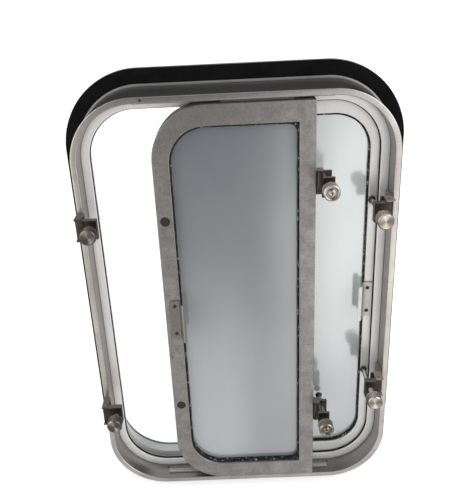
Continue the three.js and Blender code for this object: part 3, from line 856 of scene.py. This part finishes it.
def build_sash(prefix, rounded_side, left, right, window_left, window_right, lip_radius, depths,
               metal_finish, glass, cutters):
    body = f"{prefix}_sash"
    outer = Outline(left, right, -SASH_HALF_HEIGHT, SASH_HALF_HEIGHT,
                    sash_radii(rounded_side, SASH_RADIUS, SQUARE_RADIUS))
    window = Outline(window_left, window_right, -WINDOW_HALF_HEIGHT, WINDOW_HALF_HEIGHT,
                     sash_radii(rounded_side, WINDOW_RADIUS, SQUARE_RADIUS))
    skirt_inner = outer.inset(6)
    section = [(outer, depths.face, 1.0), (outer, depths.skirt_back, 0.6),
               (skirt_inner, depths.skirt_back, 0.4), (skirt_inner, depths.web_back, 0),
               (window, depths.web_back, 0.3), (window, depths.face, 0.9)]
    ring(Part(f"{prefix}_sash", metal_finish, body, "sash_metal", f"{prefix}_sash_frame"),
         section, divisions=(8, 14), cutters=cutters)

    # lip seal: a rounded lip in the opening and a flange clamped behind the web
    lip = window.inset(3)._replace(
        radii=sash_radii(rounded_side, WINDOW_RADIUS - 3, lip_radius))
    neck, pane_edge = window.inset(GAP), window.inset(-8)
    flange_front = depths.web_back + GAP
    section = [(lip, depths.seal_back, 0.4), (lip, depths.seal_front, 1.0),
               (neck, depths.seal_front, 0.6), (neck, flange_front, 0),
               (pane_edge, flange_front, 0.3), (pane_edge, depths.seal_back, 0.3)]
    seal = f"{prefix}_glazing_seal"
    ring(Part(seal, SEAL_RUBBER, body, "seal_rubber", seal), section, divisions=(40, 70),
         small_steps=8, wavy=lip, amount=0.55, scale=0.055)
    slab(Part(f"{prefix}_pane", glass, body, "pane_glass", f"{prefix}_glass"), pane_edge,
         depths.pane_front, depths.pane_back, fillet=0.6)
    retainer = outer.inset(6.3)._replace(
        radii=sash_radii(rounded_side, SASH_RADIUS - 6.3, 1.2))
    ring(Part(f"{prefix}_retainer", RETAINER_METAL, body, "sash_metal",
              f"{prefix}_glass_retainer"),
         band(retainer, window, depths.retainer_front, depths.retainer_back,
              fillets=(0.3, 0.6, 0.6, 0.3)), divisions=(8, 14))


# slots for the glides, recesses for the strikes and holes for the handle screws
front_cutters = [milled_slot(x=(-20.3, 90.3), y=(8.7, 27.3), z=span)
                 for span in (BOTTOM_SLOT_Z, TOP_SLOT_Z)]
front_cutters += [drill_y(7.8, start=-7, end=-2.3, x=STRIKE_X, z=z)
                  for z in LEFT_CLAMP_Z.values()]
front_cutters += [drill_y(2.2, start=-7, end=1.5, x=x, z=z) for x, z in FRONT_SCREWS]
build_sash("front", "left", FRONT_LEFT, FRONT_RIGHT, FRONT_LEFT + 26, FRONT_RIGHT - 25,
           lip_radius=14, depths=FRONT_DEPTHS, metal_finish=FRONT_SASH_METAL,
           glass=FRONT_GLASS, cutters=front_cutters)

rear_cutters = [milled_slot(x=span, y=(50.7, 60.3), z=BOTTOM_SLOT_Z)
                for span in ((19.7, 60.3), (109.7, 150.3))]
rear_cutters += [drill_y(2.2, start=42, end=48.9, x=x, z=z) for x, z in REAR_SCREWS]
build_sash("rear", "right", REAR_LEFT, REAR_RIGHT, REAR_LEFT + 44, REAR_RIGHT - 26,
           lip_radius=6, depths=REAR_DEPTHS, metal_finish=REAR_SASH_METAL,
           glass=REAR_GLASS, cutters=rear_cutters)


def build_strike(level, z):
    """Dull turned button let into the left stile of the front sash."""
    face = FRONT_DEPTHS.face
    # radius, depth, fillet
    profile = [(0, face + 1.15, 0), (2.6, face + 0.95, 0.5), (4.6, face + 0.62, 0.4),
               (5.6, face + 0.6, 0.2), (6.2, face + 0.15, 0.3), (7.5, face + 0.25, 0.35),
               (7.5, face + 2.9, 0.2), (0, face + 2.9, 0)]
    revolve(Part(f"strike_{level}", STRIKE_METAL, "front_sash", "strike_metal",
                 f"front_strike_{level}"), round_profile(profile), STRIKE_X, z, segments=56)


for level, z in LEFT_CLAMP_Z.items():
    build_strike(level, z)

keep_cad("front_sash_gasket", GASKET_RUBBER, bevel=0.3)
for node in ("front_bottom_glide", "front_top_guide", "rear_bottom_glide_1",
             "rear_bottom_glide_2"):
    keep_cad(node, GLIDE_PLASTIC, bevel=0.5)

# =====================================================================================
# handles
# =====================================================================================
STRIP = 2.0                        # thickness of the bent strip
STRIP_CORNER = 3.0                 # corner radius at the ends of the strip
STRIP_EASE = 0.35                  # chamfer along its edges


def handle_strip(edge_x, direction, centre_y, bottom, top):
    """Plate, slanting web and finger lip; direction is the x sign from the plate to the lip."""
    # centre line: distance from edge_x, depth, bend size
    path = [(-17, centre_y, 0), (-1.2, centre_y, 2.4),
            (3.6, centre_y + STRIP / 2 - 18.5, 2.4), (9, centre_y + STRIP / 2 - 18.5, 0)]
    bent = [Vector(p) for p in round_profile(path, steps=8)]
    # more stations near both ends, so that the corners can be rounded
    start, end = bent[0], bent[-1]
    line = [start] + [start + (bent[1] - start) * t for t in (0.03, 0.1)] + bent[1:-1]
    line += [end - (end - bent[-2]) * t for t in (0.3, 0.08)] + [end]
    travelled = [0.0]
    for before, after in zip(line, line[1:]):
        travelled.append(travelled[-1] + (after - before).length)
    half = STRIP / 2
    bm = bmesh.new()
    loops = []
    for i, centre in enumerate(line):
        tangent = (line[min(i + 1, len(line) - 1)] - line[max(i - 1, 0)]).normalized()
        normal = Vector((-tangent.y, tangent.x))
        if normal.y > 0:
            normal = -normal
        from_end = min(travelled[i], travelled[-1] - travelled[i], STRIP_CORNER)
        trim = STRIP_CORNER - math.sqrt(
            max(STRIP_CORNER ** 2 - (STRIP_CORNER - from_end) ** 2, 0.0))
        low, high = bottom + trim, top - trim
        # (offset across the strip, z)
        section = [(-half, low + STRIP_EASE), (-half + STRIP_EASE, low),
                   (half - STRIP_EASE, low), (half, low + STRIP_EASE),
                   (half, high - STRIP_EASE), (half - STRIP_EASE, high),
                   (-half + STRIP_EASE, high), (-half, high - STRIP_EASE)]
        loop = []
        for offset, z in section:
            point = centre + normal * (-offset)
            loop.append(bm.verts.new((edge_x + direction * point.x, point.y + RIM_Y, z)))
        loops.append(loop)
    skin(bm, loops)
    return bm


def build_handle_screw(prefix, number, x, z, plate_back):
    """Screw with a raised rim and a four-lobed recess."""
    plate_front = plate_back - STRIP
    # radius, depth, fillet
    profile = [(0, plate_front - 0.55, 0), (0.9, plate_front - 0.55, 0),
               (1.2, plate_front - 1.45, 0.1), (2.0, plate_front - 1.3, 0.3),
               (3.4, plate_front - 0.2, 0.25), (1.9, plate_front - 0.15, 0),
               (1.9, plate_back + 5, 0.1), (0, plate_back + 5.4, 0)]

    def cross(r, y, angle):
        if r < 1.35 and y < plate_front - 0.4:
            return r * (0.62 + 0.75 * abs(math.cos(2 * angle)) ** 3)
        return r

    revolve(Part(f"{prefix}_pull_screw_{number}", SCREW_METAL, f"{prefix}_sash", "handle_steel",
                 f"{prefix}_handle_screw_{number}"),
            round_profile(profile), x, z, segments=48, shape=cross)


def build_handle(prefix, direction, edge_x, face, bottom, top, screws, material):
    plate_back = face - GAP
    bm = handle_strip(edge_x, direction, plate_back - STRIP / 2, bottom, top)
    bm = cut(bm, [drill_y(2.3, start=face - 4, end=face + 1, x=x, z=z) for x, z in screws])
    add_part(Part(f"{prefix}_pull", material, f"{prefix}_sash", "handle_steel",
                  f"{prefix}_handle"), bm, sharp=28)
    for number, (x, z) in enumerate(screws, start=1):
        build_handle_screw(prefix, number, x, z, plate_back)


build_handle("front", 1, FRONT_LEFT + 25.5, FRONT_DEPTHS.face, bottom=-40, top=30,
             screws=FRONT_SCREWS, material=FRONT_HANDLE_METAL)
build_handle("rear", -1, REAR_RIGHT - 29.9, REAR_DEPTHS.face, bottom=-40, top=25,
             screws=REAR_SCREWS, material=REAR_HANDLE_METAL)

# =====================================================================================
# clamps
# =====================================================================================
# name: x, z, depth of the foot's pressing face, kind, knob finish
CLAMPS = {
    "left_upper": (-225.0, LEFT_CLAMP_Z["upper"], -6.3, "rim", KNOB_SHADED_METAL),
    "left_lower": (-225.0, LEFT_CLAMP_Z["lower"], -6.3, "rim", KNOB_SHADED_METAL),
    "mid_upper": (136.8, 222.0, 42.6, "stile", KNOB_CAP_METAL),
    "mid_lower": (136.8, -205.0, 42.6, "stile", KNOB_CAP_SHADED_METAL),
    "right_upper": (217.0, 174.0, 42.6, "wall", KNOB_METAL),
    "right_lower": (217.0, -152.0, 42.6, "wall", KNOB_METAL),
}


def on_knurl(r):
    return abs(r - KNURL_RADIUS) < 0.02


def build_thumb_screw(name, x, z, foot_face, kind, material):
    """Knurled knob with a threaded shank that ends in a plain nose inside the foot."""
    front, back = KNOB_FRONT, KNOB_FRONT + KNOB_LENGTH
    nose_end = foot_face - 2.4
    nose = 2.4 if kind == "rim" else 6.0
    knurl_front, knurl_back = front + 3.7, back - 5.4
    thread_front, thread_back = back + 0.6, nose_end - nose - 0.8

    # radius, depth, fillet
    if kind == "stile":
        # recessed ring round a domed cap with a socket
        face = [(0, front + 3.0, 0), (1.9, front + 3.0, 0.1), (1.9, front + 1.0, 0.25),
                (3.6, front + 0.75, 1.0), (5.6, front + 1.5, 0.9), (6.1, front + 3.1, 0.3),
                (8.3, front + 3.1, 0.4), (9.0, front + 0.5, 0.4),
                (KNOB_RADIUS - 1.5, front + 0.1, 0.5)]
    else:
        face = [(0, front + 0.95, 0), (1.1, front + 0.9, 0.2), (9.8, front + 0.12, 0.8),
                (KNOB_RADIUS - 1.5, front + 0.05, 0.4)]
    head = round_profile(face + [
        (KNOB_RADIUS, front + 1.5, 0.5), (KNOB_RADIUS, front + 3.4, 0.15),
        (KNURL_RADIUS, knurl_front, 0.1), (KNURL_RADIUS, knurl_back, 0.1),
        (KNOB_RADIUS, back - 5.1, 0.15), (KNOB_RADIUS, back - 2.8, 0.6),
        (KNOB_RADIUS - 2.4, back - 0.75, 0.7), (KNOB_RADIUS - 4.2, back - 0.05, 0.3),
        (3.95, back, 0.1)])

    profile = []
    for (r, y), (next_r, next_y) in zip(head, head[1:]):
        profile.append((r, y))
        if on_knurl(r) and on_knurl(next_r) and next_y - y > 2:
            # close rows where the knurl runs
            profile += [(r, y + (next_y - y) * k / 6) for k in range(1, 6)]
    profile += [head[-1], (THREAD_RADIUS, back + 0.3)]
    # five rows to each turn of the thread
    rows = int((thread_back - thread_front) / (THREAD_PITCH / 5))
    profile += [(THREAD_RADIUS, thread_front + (thread_back - thread_front) * k / rows)
                for k in range(rows + 1)]
    profile += [(3.5, nose_end - nose), (2.9, nose_end - nose + 0.15), (2.9, nose_end - 0.4),
                (2.5, nose_end), (0, nose_end)]

    def shape(r, y, angle):
        if on_knurl(r) and knurl_front - 0.05 <= y <= knurl_back + 0.05:
            # 54 flat-topped ridges, 0.30 high
            ridge = 0.5 + 0.5 * math.cos(54 * angle)
            return r + 0.30 * min(1.0, ridge * 1.6)
        if kind == "stile" and 1.0 < r < 1.95 and front + 0.9 < y < front + 3.2:
            # hexagonal socket
            from_flat = (angle % (math.pi / 3)) - math.pi / 6
            return r * 0.92 / math.cos(from_flat)
        if abs(r - THREAD_RADIUS) < 1e-6 and thread_front <= y <= thread_back:
            # helical groove 0.42 deep, fading over 1.5 at both ends
            fade = min(1.0, (y - thread_front) / 1.5, (thread_back - y) / 1.5)
            phase = (y / THREAD_PITCH - angle / (2 * math.pi)) % 1.0
            crest = abs(2 * phase - 1)
            return r - 0.42 * max(fade, 0.0) * (1 - crest)
        return r

    revolve(Part(f"{name}_knob_screw", material, f"{name}_knob", "knob_steel",
                 f"{name}_thumb_screw"),
            profile, x, z, segments=216, shape=shape, sharp=40, weighted=False)


def build_foot(name, x, z, face):
    # radius, depth, fillet
    profile = [(0, face - 2.1, 0), (3.2, face - 2.1, 0.1), (3.2, face - 4.15, 0.2),
               (4.3, face - 4.2, 0.4), (5.4, face - 3.2, 0.4), (6.0, face - 2.0, 0.3),
               (6.0, face - 0.8, 0.5), (5.0, face - 0.05, 0.3), (0, face, 0)]
    revolve(Part(f"{name}_swivel_foot", FOOT_METAL, f"{name}_foot", "foot_steel",
                 f"{name}_clamp_foot"), round_profile(profile), x, z, segments=56)


for name, (x, z, foot_face, kind, knob_finish) in CLAMPS.items():
    build_thumb_screw(name, x, z, foot_face, kind, knob_finish)
    build_foot(name, x, z, foot_face)
    bracket_finish = PALE_BRACKET_METAL if kind == "wall" else BRACKET_METAL
    keep_cad(f"{name}_clamp_bracket", bracket_finish, bevel=0.45, segments=3)
    keep_cad(f"{name}_clamp_pin", PIN_METAL, bevel=0.35)
    keep_cad(f"{name}_clamp_arm", ARM_METAL, bevel=0.7 if kind == "stile" else 0.9, segments=3)


# =====================================================================================
# floor, world, lights and camera
# =====================================================================================
def floor_material():
    m = new_material("floor_white")
    color = m.ramp(m.noise(0.7, detail=3.0), [(0.3, (0.90,) * 3), (0.7, (0.94,) * 3)])
    surface = m.add("ShaderNodeBsdfPrincipled", {"Base Color": color, "Roughness": 0.7})
    glow = m.add("ShaderNodeEmission", {"Strength": 0.64})
    return m.finish(m.add("ShaderNodeAddShader", {0: surface.outputs[0], 1: glow.outputs[0]}))


def build_floor():
    bm = bmesh.new()
    bmesh.ops.create_grid(bm, x_segments=2, y_segments=2, size=40.0)
    mesh = bpy.data.meshes.new("floor")
    bm.to_mesh(mesh)
    bm.free()
    floor = bpy.data.objects.new("floor", mesh)
    floor.location = (0, 0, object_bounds()[0][2] - 0.0004)
    scene.collection.objects.link(floor)
    mesh.materials.append(floor_material())
    floor.visible_glossy = False    # the metal mirrors the room, not the table it stands on


def build_world():
    """The room that the metal mirrors; the camera itself sees plain white."""
    world = bpy.data.worlds.new("studio")
    scene.world = world
    w = Nodes(world, "ShaderNodeOutputWorld")
    dx, dy, dz = w.split(w.add("ShaderNodeTexCoord").outputs["Generated"])
    # place on a wall in front, one unit away
    front = w.math("MAXIMUM", w.times(dy, -1.0), 0.05)
    across = w.math("DIVIDE", dx, front)
    height = w.math("DIVIDE", dz, front)
    # bright in front, dark to the sides and behind
    facing = w.remap(dy, span=(-0.52, 0.02), to=(1.0, 0.0), smooth=True)
    level = w.plus(0.07, w.times(facing, 1.50))
    # dark middle in front: the unlit part of the room, wider towards the top, with lit walls
    # to either side and a lit floor
    widening = w.remap(height, span=(-0.38, 0.40), to=(0.0, 0.40))
    off_middle = w.plus(across, 0.05)
    off_middle = w.math("MAXIMUM", w.times(off_middle, 1.35), w.times(off_middle, -1.15))
    dark_across = w.remap(w.minus(off_middle, widening), span=(0.11, 0.34), to=(1.0, 0.0),
                          smooth=True)
    dark_low = w.remap(height, span=(-1.00, -0.45), to=(0.10, 0.97))
    dark_high = w.remap(height, span=(1.2, 2.4), to=(1.0, 0.0), smooth=True)
    dark = w.times(w.times(w.times(dark_across, dark_low), dark_high), facing)
    level = w.times(level, w.minus(1.0, dark))
    # brighter to the right, dimmer far down
    level = w.times(level, w.remap(across, span=(-0.50, 0.50), to=(1.02, 1.12)))
    level = w.times(level, w.remap(height, span=(-0.93, -0.62), to=(0.40, 1.0)))
    # a bright ceiling on the far side
    level = w.plus(level, w.times(w.remap(dz, span=(0.46, 0.64), to=(0.0, 0.75)),
                                  w.remap(dy, span=(0.2, 0.5))))
    # soft light from both sides and from low behind, for faces that turn away from the room
    sides = w.remap(w.math("ABSOLUTE", dx), span=(0.50, 0.85), to=(0.0, 0.62), smooth=True)
    level = w.math("MAXIMUM", level, sides)
    low_back = w.times(w.remap(dy, span=(0.25, 0.60), to=(0.0, 0.50)),
                       w.remap(dz, span=(0.06, -0.10)))
    level = w.math("MAXIMUM", level, low_back)
    level = w.math("MAXIMUM", level, 0.03)
    # warm below, cool above
    color = w.mix(w.remap(dz, span=(-0.2, 0.8)), (1.0, 0.975, 0.95), (0.90, 0.95, 1.0))
    room = w.add("ShaderNodeBackground", {"Color": color, "Strength": level})
    white = w.add("ShaderNodeBackground", {"Color": (1, 1, 1, 1), "Strength": 1.0})
    seen = w.add("ShaderNodeLightPath").outputs["Is Camera Ray"]
    w.finish(w.add("ShaderNodeMixShader", {0: seen, 1: room.outputs[0], 2: white.outputs[0]}))


def area_light(name, location, aim, width, height, power, color):
    light = bpy.data.lights.new(name, "AREA")
    light.shape = "RECTANGLE"
    light.size = width
    light.size_y = height
    light.energy = power
    light.color = color
    ob = bpy.data.objects.new(name, light)
    ob.location = location
    direction = Vector(aim) - Vector(location)
    ob.rotation_euler = direction.to_track_quat("-Z", "Y").to_euler()
    scene.collection.objects.link(ob)


def build_camera():
    data = bpy.data.cameras.new("camera")
    data.lens = 46.27
    data.clip_start = 0.05
    data.clip_end = 120.0
    camera = bpy.data.objects.new("camera", data)
    yaw, pitch, roll = 0.0149, -0.4161, 0.0492
    turn = (Matrix.Rotation(yaw, 3, "Z") @ Matrix.Rotation(pitch, 3, "X")
            @ Matrix.Rotation(roll, 3, "Y"))
    right, forward, up = turn.col
    facing = Matrix((right, up, -forward)).transposed().to_4x4()
    place = Matrix.Translation((-0.008744, -0.937906 + RIM_Y * MM, 0.529129))
    camera.matrix_world = place @ facing
    scene.collection.objects.link(camera)
    scene.camera = camera


build_floor()
build_world()
area_light("key_right", location=(1.9, -1.3, 1.1), aim=(0, 0, 0), width=0.9, height=1.6,
           power=14, color=(1.0, 0.98, 0.95))
area_light("fill_left", location=(-1.9, -1.0, 0.3), aim=(-0.1, 0, 0), width=0.9, height=1.6,
           power=7, color=(0.96, 0.98, 1.0))
area_light("top", location=(0.0, 0.9, 2.3), aim=(0, 0, 0), width=1.2, height=1.0,
           power=2.5, color=(0.92, 0.96, 1.0))
build_camera()
scene.view_settings.view_transform = "Standard"
scene.view_settings.look = "None"
scene.view_settings.exposure = 0.0
scene.view_settings.gamma = 1.0
